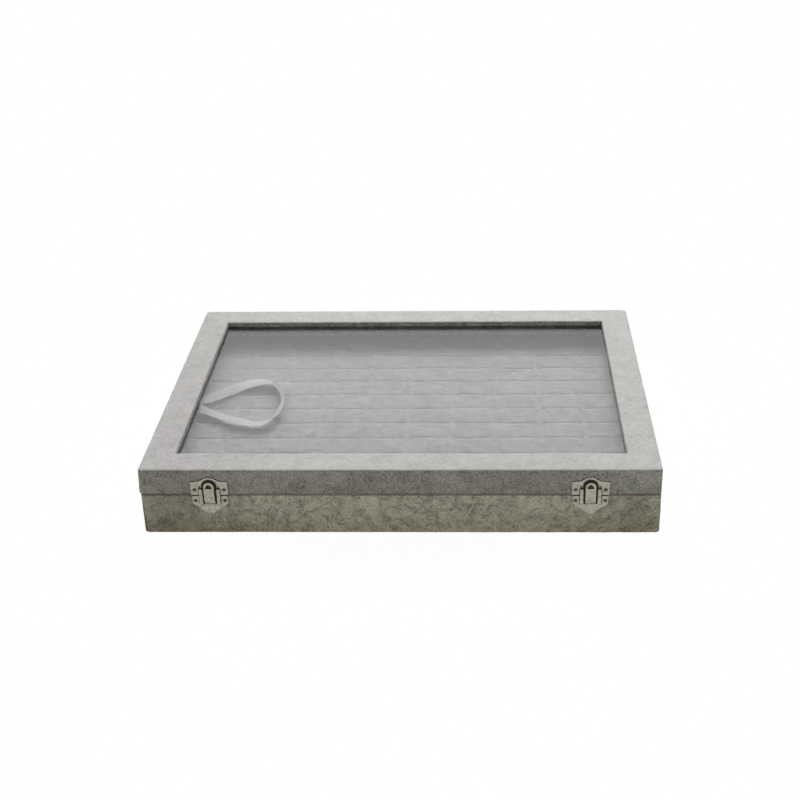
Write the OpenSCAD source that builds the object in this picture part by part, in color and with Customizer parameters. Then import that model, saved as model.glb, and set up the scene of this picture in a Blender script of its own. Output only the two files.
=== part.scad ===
// Ring display box: a velvet-covered base with a slotted ring pad, and a hinged lid
// with a glass window. Two snap latches close the front, a ribbon stays the lid.
// Millimetres, +Z up, front towards -Y. Origin: centre of the underside.

/* [Box] */
// Overall width of the box
box_w = 350; // [250:1:450]
// Overall depth of the covered box, without latches and hinges
box_d = 240; // [180:1:320]
// Overall height, lid closed
box_h = 50; // [40:1:80]
// Height of the base with its cloth
base_h = 30.6; // [20:0.1:45]
// Gap between the base's rim and the lid
rim_gap = 0.4; // [0.2:0.1:1]
// Radius of the vertical corners
corner_r = 3.2; // [1:0.1:8]
// Softening of the covered edges
edge_c = 1.2; // [0.8:0.1:2]
// Thickness of the velvet
velvet_t = 0.6; // [0.4:0.1:1]
// Thickness of the base's walls
wall_t = 9; // [6:0.5:14]
// Thickness of the bottom board
board_t = 3; // [2:0.5:6]
// Thickness of the lining inside the base
lining_t = 0.4; // [0.3:0.1:1]

/* [Ring pad] */
// Slit columns across the pad
cols = 10; // [4:1:16]
// Slit rows from front to back
rows = 10; // [4:1:14]
// Plain strip left at each side of the pad
side_margin = 3; // [0:0.5:20]
// Plain strip left at the front and back of the pad
end_margin = 7; // [4:0.5:20]
// Shift of the slit rows towards the back
row_shift = 2.7; // [-4:0.1:4]
// Length of a slit
slit_l = 26; // [15:0.5:30]
// Width of a slit
slit_w = 1.4; // [0.8:0.1:3]
// Depth of a slit in the foam
slit_depth = 15; // [8:1:20]
// Drop of the foam's top below the base's rim
pad_drop = 2.1; // [1.8:0.1:8]
// Rise of the pad between two rows
roll_rise = 1.0; // [0.2:0.1:2]

/* [Lid] */
// Width of the lid's rails, seen from above
rail_w = 21.8; // [12:0.1:40]
// Depth of the glass below the top of the lid
glass_drop = 3.9; // [2:0.1:10]
// Thickness of the glass
glass_t = 2; // [1.5:0.5:4]
// Width of the step that the glass sits in
rabbet_w = 8; // [4:0.5:10]
// Play between the glass and its step
glass_play = 0.6; // [0.2:0.1:1.5]
// Width of the strips that hold the glass from below
strip_w = 3.5; // [2:0.5:4]
// Height of these strips
strip_h = 5; // [2:0.5:8]

/* [Fittings] */
// Distance of a latch or hinge from the box's side
fit_inset = 47.5; // [20:0.5:90]
// Width of a latch plate
plate_w = 25; // [15:0.5:40]
// Thickness of the sheet metal
sheet_t = 0.7; // [0.5:0.1:1.2]
// Width of the latch tongue
tongue_w = 7; // [5:0.5:12]
// Outward offset of the latch tongue
tongue_off = 1.6; // [1.2:0.1:3]
// Width of a hinge
hinge_w = 26; // [15:0.5:50]
// Outer radius of a hinge knuckle
knuckle_r = 1.5; // [1:0.1:3]
// Radius of a hinge pin
pin_r = 0.75; // [0.5:0.05:1.5]
// Clearance of a hinge pin in its knuckles
pin_play = 0.06; // [0.02:0.01:0.1]
// Radius of a nail's head
nail_head_r = 1.25; // [0.8:0.05:2]
// Radius of a nail's shank
nail_r = 0.6; // [0.4:0.05:1]

/* [Ribbon] */
// Width of the stay ribbon
ribbon_w = 8; // [4:0.1:10]
// Thickness of the stay ribbon
ribbon_t = 0.3; // [0.2:0.05:0.8]

/* [Hidden] */

grey = [0.72, 0.71, 0.7];
dark_grey = [0.42, 0.42, 0.4];
pad_grey = [0.66, 0.67, 0.66];
foam_c = [0.5, 0.5, 0.5];
mdf_c = [0.72, 0.6, 0.42];
nickel_c = [0.75, 0.74, 0.7];
ribbon_c = [0.93, 0.93, 0.92];
glass_c = [0.8, 0.9, 0.9, 0.35];
felt_c = [0.2, 0.2, 0.21];

e = 0.01;
hw = box_w / 2;
hd = box_d / 2;
lid_z = base_h + rim_gap;            // underside of the lid's cloth
seam_z = base_h + rim_gap / 2;       // middle of the gap
core_x = hw - velvet_t;              // outer face of the boards
core_y = hd - velvet_t;
felt_t = velvet_t;
felt_inset = 14;                     // strip of turned-under cloth round the felt
felt_r = 2;
hem_z = 0.1;                         // the turned-under cloth stays this clear of the table
hem_c = 0.6;                         // softening along the bottom edge and the seam
board_z0 = felt_t;
wall_z0 = board_z0 + board_t;
wall_z1 = base_h - velvet_t;
in_x = core_x - wall_t - lining_t;   // clear inside of the lined base
in_y = core_y - wall_t - lining_t;
card_t = 1.6;
foam_z0 = wall_z0 + card_t;
foam_gap = 0.4;
foam_top = base_h - pad_drop;
foam_x = in_x - foam_gap;
foam_y = in_y - foam_gap;
col_pitch = 2 * (in_x - side_margin) / cols;
row_pitch = 2 * (in_y - end_margin) / rows;
fit_x = hw - fit_inset;
win_x = hw - rail_w;                 // window, inside the cloth
win_y = hd - rail_w;
rail_in_x = win_x + velvet_t;
rail_in_y = win_y + velvet_t;
glass_z1 = box_h - glass_drop;
glass_z0 = glass_z1 - glass_t;
rabbet_x = rail_in_x + rabbet_w;
rabbet_y = rail_in_y + rabbet_w;

// ---------- helpers ----------
module rounded2d(w, d, r) {
  offset(r = r, $fn = 32) square([w - 2 * r, d - 2 * r], center = true);
}
// block centred in X and Y with softened top (ct) and bottom (cb) edges
module soft_block(w, d, z0, z1, r, ct, cb) {
  steps = [[0, 1], [0.3, 0.3], [1, 0]];
  module ring(z, h, in0, in1) {
    translate([0, 0, z])
      linear_extrude(height = h, scale = [(w - 2 * in1) / (w - 2 * in0), (d - 2 * in1) / (d - 2 * in0)])
        rounded2d(w - 2 * in0, d - 2 * in0, r);
  }
  translate([0, 0, z0 + cb]) linear_extrude(height = z1 - z0 - cb - ct) rounded2d(w, d, r);
  if (ct > 0) for (i = [0, 1])
    ring(z1 - ct * steps[i][1], ct * (steps[i][1] - steps[i + 1][1]),
         ct * steps[i][0], ct * steps[i + 1][0]);
  if (cb > 0) mirror([0, 0, 1]) for (i = [0, 1])
    ring(-z0 - cb * steps[i][1], cb * (steps[i][1] - steps[i + 1][1]),
         cb * steps[i][0], cb * steps[i + 1][0]);
}
// block between two corners
module slab(x0, x1, y0, y1, z0, z1) {
  translate([x0, y0, z0]) cube([x1 - x0, y1 - y0, z1 - z0]);
}
// straight-sided block with the box's rounded corners
module core_block(z0, z1) {
  translate([0, 0, z0]) linear_extrude(height = z1 - z0)
    rounded2d(2 * core_x, 2 * core_y, corner_r - velvet_t);
}
// a drawing in X and Z pushed out from the front face: y0 is its back, t its thickness
module front_sheet(y0, t) {
  translate([0, -hd - y0, 0]) rotate([90, 0, 0]) linear_extrude(height = t) children();
}

// ---------- base ----------
module felt_outline() {
  rounded2d(box_w - 2 * felt_inset, box_d - 2 * felt_inset, felt_r);
}
module bottom_felt() color(felt_c) linear_extrude(height = felt_t) felt_outline();

module bottom_board() color(mdf_c) core_block(board_z0, wall_z0);

module wall_ring(z0, z1) {
  difference() {
    core_block(z0, z1);
    slab(-core_x + wall_t, core_x - wall_t, -core_y + wall_t, core_y - wall_t, z0 - 1, z1 + 1);
  }
}
module base_wall_front() color(mdf_c) intersection() {
  wall_ring(wall_z0, wall_z1);
  slab(-hw, hw, -hd, -core_y + wall_t, 0, box_h);
}
module base_wall_back() color(mdf_c) mirror([0, 1, 0]) base_wall_front();
module base_wall_right() color(mdf_c)
  slab(core_x - wall_t, core_x, -core_y + wall_t, core_y - wall_t, wall_z0, wall_z1);
module base_wall_left() color(mdf_c) mirror([1, 0, 0]) base_wall_right();

module base_velvet_wrap() color(dark_grey) difference() {
  soft_block(box_w, box_d, hem_z, base_h, corner_r, hem_c, edge_c);
  core_block(board_z0, wall_z1);
  slab(-core_x + wall_t, core_x - wall_t, -core_y + wall_t, core_y - wall_t, 1, box_h);
  translate([0, 0, -1]) linear_extrude(height = board_z0 + 1.5) felt_outline();
}
module base_lining() color(dark_grey) difference() {
  slab(-in_x - lining_t, in_x + lining_t, -in_y - lining_t, in_y + lining_t, wall_z0, base_h);
  slab(-in_x, in_x, -in_y, in_y, 0, box_h);
}
module tray_card() color(felt_c)
  slab(-foam_x, foam_x, -foam_y, foam_y, wall_z0, foam_z0);

function slit_x(i) = (i - (cols - 1) / 2) * col_pitch;
function slit_y(j) = (j - (rows - 1) / 2) * row_pitch + row_shift;
module slits(z0, z1) {
  for (i = [0:cols - 1], j = [0:rows - 1])
    slab(slit_x(i) - slit_l / 2, slit_x(i) + slit_l / 2,
         slit_y(j) - slit_w / 2, slit_y(j) + slit_w / 2, z0, z1);
}
module ring_foam() color(foam_c) difference() {
  slab(-foam_x, foam_x, -foam_y, foam_y, foam_z0, foam_top);
  slits(foam_top - slit_depth, foam_top + 1);
}
// the cover rises between the rows and dips at each row of slits; y from the rows' middle
function roll_z(y) = foam_top + velvet_t + roll_rise * abs(cos(180 * y / row_pitch));
roll_steps = 6;
module ring_pad_cover() color(pad_grey) difference() {
  rotate([90, 0, 90]) translate([0, 0, -foam_x])
    linear_extrude(height = 2 * foam_x) polygon(concat(
      [[-foam_y, foam_top], [-foam_y, foam_top + velvet_t]],
      [for (k = [-rows * roll_steps:rows * roll_steps]) let (y = k * row_pitch / roll_steps / 2)
        [y + row_shift, roll_z(y)]],
      [[foam_y, foam_top + velvet_t], [foam_y, foam_top]]));
  slits(foam_top - 1, box_h);
}

// ---------- lid ----------
module lid_core() {
  difference() {
    core_block(lid_z + velvet_t, box_h - velvet_t);
    slab(-rail_in_x, rail_in_x, -rail_in_y, rail_in_y, 0, box_h);
    slab(-rabbet_x - velvet_t, rabbet_x + velvet_t,
         -rabbet_y - velvet_t, rabbet_y + velvet_t, 0, glass_z1);
  }
}
// wedges that cut the mitred corners of the front and right rails
module mitre_front() {
  linear_extrude(height = box_h) polygon([[-hw, -hd], [hw, -hd], [hw - hd, 0], [-hw + hd, 0]]);
}
module mitre_right() {
  linear_extrude(height = box_h) polygon([[hw, -hd], [hw, hd], [hw - hd, 0]]);
}
module lid_rail_front() color(mdf_c) intersection() {
  lid_core();
  mitre_front();
}
module lid_rail_back() color(mdf_c) mirror([0, 1, 0]) lid_rail_front();
module lid_rail_right() color(mdf_c) intersection() {
  lid_core();
  mitre_right();
}
module lid_rail_left() color(mdf_c) mirror([1, 0, 0]) lid_rail_right();

// the cloth goes round the rails on all sides and over the lip above the glass
module lid_velvet_wrap() color(grey) difference() {
  soft_block(box_w, box_d, lid_z, box_h, corner_r, edge_c, hem_c);
  lid_core();
  slab(-win_x, win_x, -win_y, win_y, 0, box_h + 1);
  slab(-rabbet_x, rabbet_x, -rabbet_y, rabbet_y, 0, glass_z1);
}
module glass_pane() color(glass_c)
  slab(-rabbet_x + glass_play, rabbet_x - glass_play,
       -rabbet_y + glass_play, rabbet_y - glass_play, glass_z0, glass_z1);

// strips under the glass, set back from the window's edge
stop_play = 0.1;
stop_out_x = rabbet_x - stop_play;
stop_out_y = rabbet_y - stop_play;
stop_in_x = stop_out_x - strip_w;
stop_in_y = stop_out_y - strip_w;
stop_z = glass_z0 - strip_h;
module glass_stop_front() color(dark_grey)
  slab(-stop_out_x, stop_out_x, -stop_out_y, -stop_in_y, stop_z, glass_z0);
module glass_stop_back() color(dark_grey) mirror([0, 1, 0]) glass_stop_front();
module glass_stop_right() color(dark_grey)
  slab(stop_in_x, stop_out_x, -stop_in_y, stop_in_y, stop_z, glass_z0);
module glass_stop_left() color(dark_grey) mirror([1, 0, 0]) glass_stop_right();

// ---------- latches ----------
latch_hole_x = 10;
latch_hole_up = 4.4;
latch_hole_dn = 4.1;
plate_top_side = 10.4;
plate_top_apex = 13.9;
plate_low_side = 6.5;
plate_low_apex = 14.6;
tongue_root = 7;
tongue_tip = 10.8;
tongue_bend = 4.3;
cut_w = 10.4;
cut_low = 3.2;
cut_top = 12.4;
arm_w = 4.6;
arm_top = 7.3;
nose_w = 3.6;
rib_in = 4.8;
rib_out = 7;
rib_top = 5;
rib_h = 0.55;                        // how far a guide rib stands out of its plate
rib_clear = 0.08;                    // space between a rib and the catch plate behind it
latch_gap = 0.15;
nail_hole_r = nail_r + latch_gap;
peg_x = 6.3;                         // small square holes above the ribs
peg_w = 1.5;
peg_h = 2;
seam_half = 0.5;                     // half the space between the two plates

// rectangle in X and Z measured from the seam
module zrect(x0, x1, z0, z1) {
  translate([x0, seam_z + z0]) square([x1 - x0, z1 - z0]);
}
// an upright with a round top
module arch2d(w, z0, z1) {
  zrect(-w / 2, w / 2, z0, z1 - w / 2);
  translate([0, seam_z + z1 - w / 2]) circle(d = w, $fn = 32);
}
// round holes for the nails of a plate, at a height measured from the seam
module nail_holes(z) {
  for (s = [-1, 1]) translate([s * latch_hole_x, -hd + 1, seam_z + z])
    rotate([90, 0, 0]) cylinder(r = nail_hole_r, h = 4, $fn = 20);
}
module rib2d(z1) {
  for (s = [-1, 1]) translate([s * (rib_in + rib_out) / 2, 0])
    zrect(-(rib_out - rib_in) / 2, (rib_out - rib_in) / 2, -plate_low_side, z1);
}
module latch_plate() color(nickel_c) {
  side = plate_w / 2 - 0.6;
  tip_half = 1.2;
  difference() {
    union() {
      front_sheet(0, sheet_t) translate([0, seam_z])
        polygon([[-side, -seam_half], [side, -seam_half], [side, -plate_low_side],
                 [tip_half, -plate_low_apex], [-tip_half, -plate_low_apex],
                 [-side, -plate_low_side]]);
      // raised ribs that guide the tongue from both sides
      front_sheet(sheet_t + rib_clear, rib_h) rib2d(rib_top);
      front_sheet(sheet_t - e, 2 * rib_clear) rib2d(-seam_half);
    }
    // slot around the tongue
    front_sheet(-1, 4) zrect(-tongue_w / 2 - 1, tongue_w / 2 + 1, -tongue_root, 1);
    nail_holes(-latch_hole_dn);
  }
}
// spring tongue: rounded root at the slot's floor, a bend outwards, a windowed round tip
module latch_tongue() color(nickel_c) {
  r = sheet_t / 2;
  zr = seam_z - tongue_root + latch_gap + r;
  difference() {
    intersection() {
      rotate([90, 0, 90]) translate([0, 0, -tongue_w / 2]) linear_extrude(height = tongue_w)
        union() {
          translate([-hd - r, zr]) circle(r = r, $fn = 24);
          polygon([[-hd, zr], [-hd - sheet_t, zr],
                   [-hd - tongue_off - sheet_t, seam_z - tongue_bend + 1],
                   [-hd - tongue_off - sheet_t, seam_z + tongue_tip],
                   [-hd - tongue_off, seam_z + tongue_tip],
                   [-hd - tongue_off, seam_z - tongue_bend + 1]]);
        }
      front_sheet(-1, 6) arch2d(tongue_w, -12, tongue_tip);
    }
    // window that snaps over the catch
    front_sheet(-1, 6) translate([0, seam_z])
      polygon([[-2.3, 6.1], [2.3, 6.1], [1.6, 8.2], [0, 9.4], [-1.6, 8.2]]);
  }
}
module catch_plate() color(nickel_c) {
  side = plate_w / 2;
  shoulder = side - 6;
  tip_half = 1.8;
  nose_y = -hd - tongue_off + latch_gap;
  difference() {
    front_sheet(0, sheet_t) translate([0, seam_z])
      polygon([[-side, seam_half], [side, seam_half], [side, plate_top_side],
               [shoulder, plate_top_side + 0.6], [tip_half, plate_top_apex],
               [-tip_half, plate_top_apex], [-shoulder, plate_top_side + 0.6],
               [-side, plate_top_side]]);
    // arched opening, leaving the catch's arm in its middle
    difference() {
      front_sheet(-1, 4) arch2d(cut_w, cut_low, cut_top);
      front_sheet(-2, 6) zrect(-arm_w / 2, arm_w / 2, 0, arm_top);
    }
    nail_holes(latch_hole_up);
    for (s = [-1, 1]) front_sheet(-1, 4) translate([s * peg_x, 0])
      zrect(-peg_w / 2, peg_w / 2, rib_top + 0.4, rib_top + 0.4 + peg_h);
  }
  // nose of the catch, behind the tongue's window
  rotate([90, 0, 90]) translate([0, 0, -nose_w / 2]) linear_extrude(height = nose_w)
    polygon([[-hd - sheet_t + e, seam_z + arm_top - 2.2], [nose_y, seam_z + arm_top - 1.4],
             [nose_y, seam_z + arm_top - 0.6], [-hd - sheet_t + e, seam_z + arm_top]]);
}
// round-headed nail, head outwards on the face of a sheet; dir -1 front, 1 back
nail_l = 8;
nail_point = 2;
module nail(dir) {
  rotate([-90 * dir, 0, 0]) {
    translate([0, 0, sheet_t])
      cylinder(r1 = nail_head_r, r2 = nail_head_r * 0.6, h = 0.4, $fn = 20);
    translate([0, 0, nail_point - nail_l])
      cylinder(r = nail_r, h = nail_l - nail_point + sheet_t + 0.1, $fn = 16);
    translate([0, 0, -nail_l]) cylinder(r1 = 0.1, r2 = nail_r, h = nail_point, $fn = 16);
  }
}
module left_latch_plate() translate([-fit_x, 0, 0]) latch_plate();
module right_latch_plate() translate([fit_x, 0, 0]) latch_plate();
module left_latch_tongue() translate([-fit_x, 0, 0]) latch_tongue();
module right_latch_tongue() translate([fit_x, 0, 0]) latch_tongue();
module left_catch_plate() translate([-fit_x, 0, 0]) catch_plate();
module right_catch_plate() translate([fit_x, 0, 0]) catch_plate();
module latch_plate_nails() color(nickel_c) for (s = [-1, 1], t = [-1, 1])
  translate([s * fit_x + t * latch_hole_x, -hd, seam_z - latch_hole_dn]) nail(-1);
module catch_plate_nails() color(nickel_c) for (s = [-1, 1], t = [-1, 1])
  translate([s * fit_x + t * latch_hole_x, -hd, seam_z + latch_hole_up]) nail(-1);

// ---------- hinges ----------
hinge_y = hd + knuckle_r + 0.4;
mid_w = 10;                          // length of the lid's knuckle
knuckle_gap = 0.15;
leaf_h = 11;
hinge_hole_x = 8.5;
hinge_hole_z = 6.5;
clear_r = knuckle_r + 0.3;
end_w = (hinge_w - mid_w) / 2;       // length of each of the base's knuckles
end_x = (hinge_w + mid_w) / 4;       // middle of each of the base's knuckles
web_in = 0.7;                        // strip that joins the knuckles to their leaf
web_out = 1.4;

// round bar along the hinge's axis
module axle(r, x0, x1) {
  translate([x0, hinge_y, seam_z]) rotate([0, 90, 0]) cylinder(r = r, h = x1 - x0, $fn = 32);
}
module knuckle_bore() {
  axle(pin_r + pin_play, -hinge_w, hinge_w);
}
// leaf with the root of its knuckles; up is 1 for the lid and -1 for the base
module leaf(up) {
  z0 = up > 0 ? seam_z + rim_gap / 2 : seam_z - leaf_h;
  z1 = up > 0 ? seam_z + leaf_h : seam_z - rim_gap / 2;
  difference() {
    slab(-hinge_w / 2, hinge_w / 2, hd, hd + sheet_t, z0, z1);
    for (s = [-1, 1]) {
      translate([s * hinge_hole_x, hd - 1, seam_z + up * hinge_hole_z])
        rotate([-90, 0, 0]) cylinder(r = nail_hole_r, h = 4, $fn = 20);
      // clipped outer corners
      translate([s * hinge_w / 2, hd, seam_z + up * leaf_h]) rotate([0, 45, 0])
        cube([3, 6, 3], center = true);
    }
  }
}
module hinge_base_leaf() color(nickel_c) difference() {
  union() {
    leaf(-1);
    for (s = [-1, 1]) translate([s * end_x, 0, 0]) {
      axle(knuckle_r, -end_w / 2, end_w / 2);
      slab(-end_w / 2, end_w / 2, hd, hinge_y, seam_z - web_out, seam_z - web_in);
    }
  }
  axle(clear_r, -mid_w / 2 - knuckle_gap, mid_w / 2 + knuckle_gap);
  knuckle_bore();
}
module hinge_lid_leaf() color(nickel_c) difference() {
  union() {
    difference() {
      leaf(1);
      for (s = [-1, 1]) translate([s * hinge_w / 2, 0, 0]) axle(clear_r, -end_w, end_w);
    }
    axle(knuckle_r, -mid_w / 2, mid_w / 2);
    slab(-mid_w / 2, mid_w / 2, hd, hinge_y, seam_z + web_in, seam_z + web_out);
  }
  knuckle_bore();
}
module hinge_pin() color(nickel_c) axle(pin_r, -hinge_w / 2 - 0.3, hinge_w / 2 + 0.3);
module left_hinge_base_leaf() translate([-fit_x, 0, 0]) hinge_base_leaf();
module right_hinge_base_leaf() translate([fit_x, 0, 0]) hinge_base_leaf();
module left_hinge_lid_leaf() translate([-fit_x, 0, 0]) hinge_lid_leaf();
module right_hinge_lid_leaf() translate([fit_x, 0, 0]) hinge_lid_leaf();
module left_hinge_pin() translate([-fit_x, 0, 0]) hinge_pin();
module right_hinge_pin() translate([fit_x, 0, 0]) hinge_pin();
module hinge_base_nails() color(nickel_c) for (s = [-1, 1], t = [-1, 1])
  translate([s * fit_x + t * hinge_hole_x, hd, seam_z - hinge_hole_z]) nail(1);
module hinge_lid_nails() color(nickel_c) for (s = [-1, 1], t = [-1, 1])
  translate([s * fit_x + t * hinge_hole_x, hd, seam_z + hinge_hole_z]) nail(1);

// ---------- stay ribbon ----------
pad_z = foam_top + velvet_t + roll_rise;
edge_z = pad_z + 0.3 + ribbon_w / 2;
root_x = -in_x + 1;                  // where the ribbon leaves its glued ends
slip_z = pad_z + 0.45;               // height of the flat stretch between pad and lid
turn_z = pad_z + 2.8;                // height where the band is half turned on edge
// the ribbon's way from the base's end to the lid's: distance from its root, y, z, and roll
// from 0 flat to 90 on edge
way = [[0, -7.1, slip_z, 0], [2.6, -8.6, slip_z, 0], [6, -11.5, turn_z, 40],
       [11.9, -16.2, edge_z - 0.2, 92], [20.8, -22.3, edge_z, 106], [30.5, -28.1, edge_z, 106],
       [42, -33.3, edge_z, 106], [56, -36.8, edge_z, 124], [65, -30, edge_z, 136],
       [68.2, -19.2, edge_z, 138], [68.8, -5.6, edge_z, 122], [67.2, 3.8, edge_z, 94],
       [63.2, 14.6, edge_z, 70], [54.6, 25.4, edge_z, 54], [40.4, 21.9, edge_z, 76],
       [29.2, 13.6, edge_z, 92], [20.1, 5, edge_z, 84], [13, -0.4, edge_z - 0.2, 82],
       [6.4, -2.8, turn_z + 0.2, 42], [2.6, -1.8, slip_z, 0], [0, -0.6, slip_z + 0.1, 0]];
last = len(way) - 1;
tab_l = 8;                           // length of each glued end
elbow_1 = 7;                         // where the lengths of ribbon meet, as way-points
tip = 10;
elbow_2 = 13;
cut = 0.02;                          // gap at an elbow, as a share of a way-point step
tip_cut = 0.12;                      // gap where the two strands meet
root_cut = 1.5;                      // clear space round the turning point at each glued end
band_steps = 4;                      // sections per way-point

function unit(v) = v / norm(v);
function spline(a, b, c, d, t) =
  0.5 * (2 * b + (c - a) * t + (2 * a - 5 * b + 4 * c - d) * t * t + (3 * b - a - 3 * c + d) * t * t * t);
function way_at(u) = let (i = min(floor(u), last - 1))
  spline(way[max(i - 1, 0)], way[i], way[i + 1], way[min(i + 2, last)], u - i);
function place(u) = let (p = way_at(u)) [root_x + p[0], p[1], p[2]];
function run(u) = unit(place(min(u + 0.05, last)) - place(max(u - 0.05, 0)));
// the ribbon is gathered where it is glued, and reaches its width a short way on
function gather(u) = min(1, 0.15 + 0.42 * min(u, last - u));
// corners of the band's section, in order round it
function section(u) = let (
    t = run(u), side = unit(cross([0, 0, 1], t)), up = cross(t, side), a = way_at(u)[3],
    w = (cos(a) * side + sin(a) * up) * ribbon_w / 2 * gather(u),
    n = (-sin(a) * side + cos(a) * up) * ribbon_t / 2, c = place(u))
  [c + w + n, c - w + n, c - w - n, c + w - n];
// the ribbon between two way-points; both wide sides are split along the same diagonal
module band(u0, u1) color(ribbon_c) {
  n = round((u1 - u0) * band_steps);
  polyhedron(
    points = [for (i = [0:n]) each section(u0 + (u1 - u0) * i / n)],
    faces = concat([[0, 1, 2], [0, 2, 3]],
      [for (i = [0:n - 1], k = [0:3]) let (a = 4 * i + k, b = 4 * i + (k + 1) % 4)
        k == 2 ? [a, a + 4, b] : [a, a + 4, b + 4]],
      [for (i = [0:n - 1], k = [0:3]) let (a = 4 * i + k, b = 4 * i + (k + 1) % 4)
        k == 2 ? [b, a + 4, b + 4] : [a, b + 4, b]],
      [[4 * n, 4 * n + 2, 4 * n + 1], [4 * n, 4 * n + 3, 4 * n + 2]]));
}
// the base's end runs down between pad and wall, the lid's end lies under the lid's left rail
module stay_base_tab() color(ribbon_c)
  slab(-in_x, -in_x + ribbon_t, way[0][1] - ribbon_w / 2, way[0][1] + ribbon_w / 2,
       foam_top - tab_l, pad_z + ribbon_t);
module stay_lid_tab() color(ribbon_c)
  slab(-in_x - tab_l, root_x - 0.3, way[last][1] - ribbon_w / 2, way[last][1] + ribbon_w / 2,
       lid_z - ribbon_t, lid_z);
module stay_ribbon_base_1() band(root_cut, elbow_1 - cut);
module stay_ribbon_base_2() band(elbow_1 + cut, tip - tip_cut);
module stay_ribbon_lid_2() band(tip + tip_cut, elbow_2 - cut);
module stay_ribbon_lid_1() band(elbow_2 + cut, last - root_cut);

bottom_felt();
bottom_board();
base_wall_front();
base_wall_back();
base_wall_left();
base_wall_right();
base_velvet_wrap();
base_lining();
tray_card();
ring_foam();
ring_pad_cover();
left_latch_plate();
right_latch_plate();
latch_plate_nails();
left_latch_tongue();
right_latch_tongue();
left_hinge_base_leaf();
right_hinge_base_leaf();
left_hinge_pin();
right_hinge_pin();
hinge_base_nails();
stay_base_tab();
lid_rail_front();
lid_rail_back();
lid_rail_left();
lid_rail_right();
lid_velvet_wrap();
glass_pane();
glass_stop_front();
glass_stop_back();
glass_stop_left();
glass_stop_right();
left_catch_plate();
right_catch_plate();
catch_plate_nails();
left_hinge_lid_leaf();
right_hinge_lid_leaf();
hinge_lid_nails();
stay_lid_tab();
stay_ribbon_base_1();
stay_ribbon_base_2();
stay_ribbon_lid_2();
stay_ribbon_lid_1();
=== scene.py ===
import math

import bpy
import numpy as np
from mathutils import Matrix, Vector, noise


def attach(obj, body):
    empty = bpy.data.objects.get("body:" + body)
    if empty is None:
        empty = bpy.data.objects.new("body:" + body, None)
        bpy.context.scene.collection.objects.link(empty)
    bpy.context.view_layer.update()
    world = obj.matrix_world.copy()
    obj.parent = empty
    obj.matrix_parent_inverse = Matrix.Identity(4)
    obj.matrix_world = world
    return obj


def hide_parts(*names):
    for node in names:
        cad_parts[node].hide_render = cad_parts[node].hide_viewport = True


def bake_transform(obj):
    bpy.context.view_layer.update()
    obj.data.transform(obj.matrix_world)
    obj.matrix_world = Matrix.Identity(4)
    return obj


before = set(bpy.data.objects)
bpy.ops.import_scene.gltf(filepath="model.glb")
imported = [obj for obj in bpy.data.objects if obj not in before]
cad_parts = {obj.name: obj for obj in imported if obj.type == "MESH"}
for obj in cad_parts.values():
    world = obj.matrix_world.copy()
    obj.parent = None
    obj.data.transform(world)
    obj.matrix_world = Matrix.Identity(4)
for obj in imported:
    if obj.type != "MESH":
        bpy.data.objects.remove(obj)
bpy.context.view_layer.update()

# sizes of the part in millimetres; meshes are made in millimetres and scaled to metres
MM = 0.001
HW, HD, BOX_H = 175.0, 120.0, 50.0          # half width, half depth and height of the box
BASE_H, LID_Z, SEAM_Z = 30.6, 31.0, 30.8    # base's rim, lid's underside, middle of the seam
CORNER_R = 3.2
WIN_INSET = 21.8                            # window's edge, from the box's sides
RABBET = 13.2                               # inset of the glass step from the box's sides
GLASS_TOP, GLASS_LOW = 46.1, 44.1
STRIP_W, STRIP_H = 3.5, 5.0                 # covered strips that hold the glass
IN_X = 165.0                                # half the base's inner width
PAD_X, PAD_Y = 164.6, 109.6
COLS, ROWS, COL_PITCH, ROW_PITCH, ROW_SHIFT = 10, 10, 32.4, 20.6, 2.7
PAD_LOW, PAD_VALLEY, PAD_CREST = 5.25, 29.55, 30.1
FIT_X = 127.5                               # latches and hinges, from the middle
RIBBON_W, RIBBON_T = 8.0, 0.3


# ---------- meshes ----------
def make_piece(name, verts, faces, material):
    mesh = bpy.data.meshes.new(name)
    points = np.asarray(verts, float) * MM
    mesh.from_pydata([tuple(v) for v in points], [], [tuple(f) for f in faces])
    mesh.validate()
    mesh.update()
    mesh.polygons.foreach_set("use_smooth", [True] * len(mesh.polygons))
    mesh.materials.append(material)
    piece = bpy.data.objects.new(name, mesh)
    bpy.context.scene.collection.objects.link(piece)
    return piece


def bumps(points, size, octaves, seed):
    """Smooth noise from -1 to 1 at each point, with features of that size in millimetres."""
    out = np.zeros(len(points))
    for i, p in enumerate(points):
        at = Vector((p[0] / size + seed, p[1] / size - seed, p[2] / size + 2 * seed))
        out[i] = noise.fractal(at, 1.0, 2.0, octaves)
    return np.clip(out, -1, 1)


SIDE_STEP, ARC_STEPS, LEAST_R = 2.4, 8, 0.5


def loop_xy(inset):
    """Points round a rounded rectangle, with the outward direction at each."""
    r = max(CORNER_R - inset, LEAST_R)
    a, b = HW - inset, HD - inset
    nx, ny = int(2 * HW / SIDE_STEP), int(2 * HD / SIDE_STEP)
    pts, out = [], []
    sides = [
        ((a - r, b - r), 0, (a - r, b), (-a + r, b), nx),
        ((-a + r, b - r), 90, (-a, b - r), (-a, -b + r), ny),
        ((-a + r, -b + r), 180, (-a + r, -b), (a - r, -b), nx),
        ((a - r, -b + r), 270, (a, -b + r), (a, b - r), ny),
    ]
    for centre, start, p, q, n in sides:
        for k in range(ARC_STEPS):
            t = math.radians(start + 90 * k / ARC_STEPS)
            out.append((math.cos(t), math.sin(t)))
            pts.append((centre[0] + r * math.cos(t), centre[1] + r * math.sin(t)))
        t = math.radians(start + 90)
        for k in range(n):
            pts.append((p[0] + (q[0] - p[0]) * k / n, p[1] + (q[1] - p[1]) * k / n))
            out.append((math.cos(t), math.sin(t)))
    return np.array(pts), np.array(out)


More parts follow.
